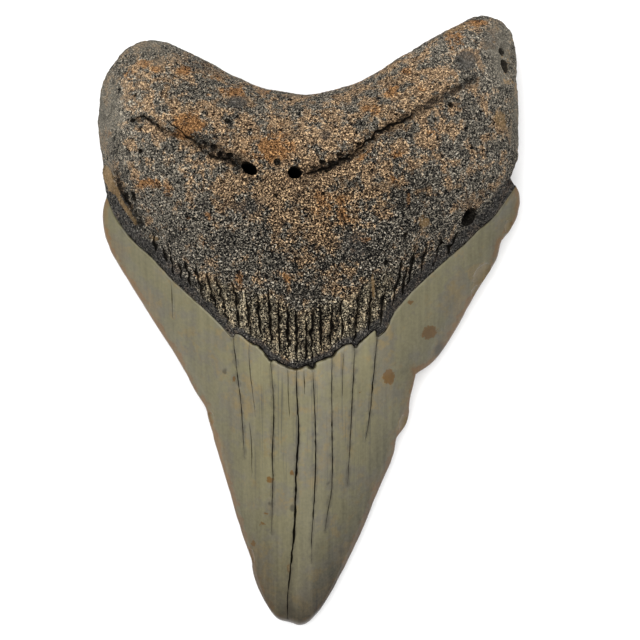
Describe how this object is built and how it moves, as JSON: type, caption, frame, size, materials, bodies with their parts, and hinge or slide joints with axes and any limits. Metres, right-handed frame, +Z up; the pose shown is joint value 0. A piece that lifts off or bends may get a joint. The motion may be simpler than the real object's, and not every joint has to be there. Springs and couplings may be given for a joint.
{
  "type": "megalodon tooth",
  "caption": "Fossil shark tooth with a rough, pitted, arched root and a smooth triangular crown that is cracked lengthwise and chipped, lying on its flatter face.",
  "frame": {"origin": "on the surface that the tooth lies on, below the middle of its bounding box", "axes": "+X across the tooth, to the right of someone who looks at the lingual face with the root up; +Y lengthwise, from the tip of the crown to the root; +Z up, out of the lingual face"},
  "size_m": [0.0798, 0.1157, 0.0244],
  "materials": {
    "fossil": "matt pitted brown and black root, satin grey-olive enamel crown"
  },
  "bodies": {
    "root": {"tooth": "fossil"}
  },
  "joints": []
}
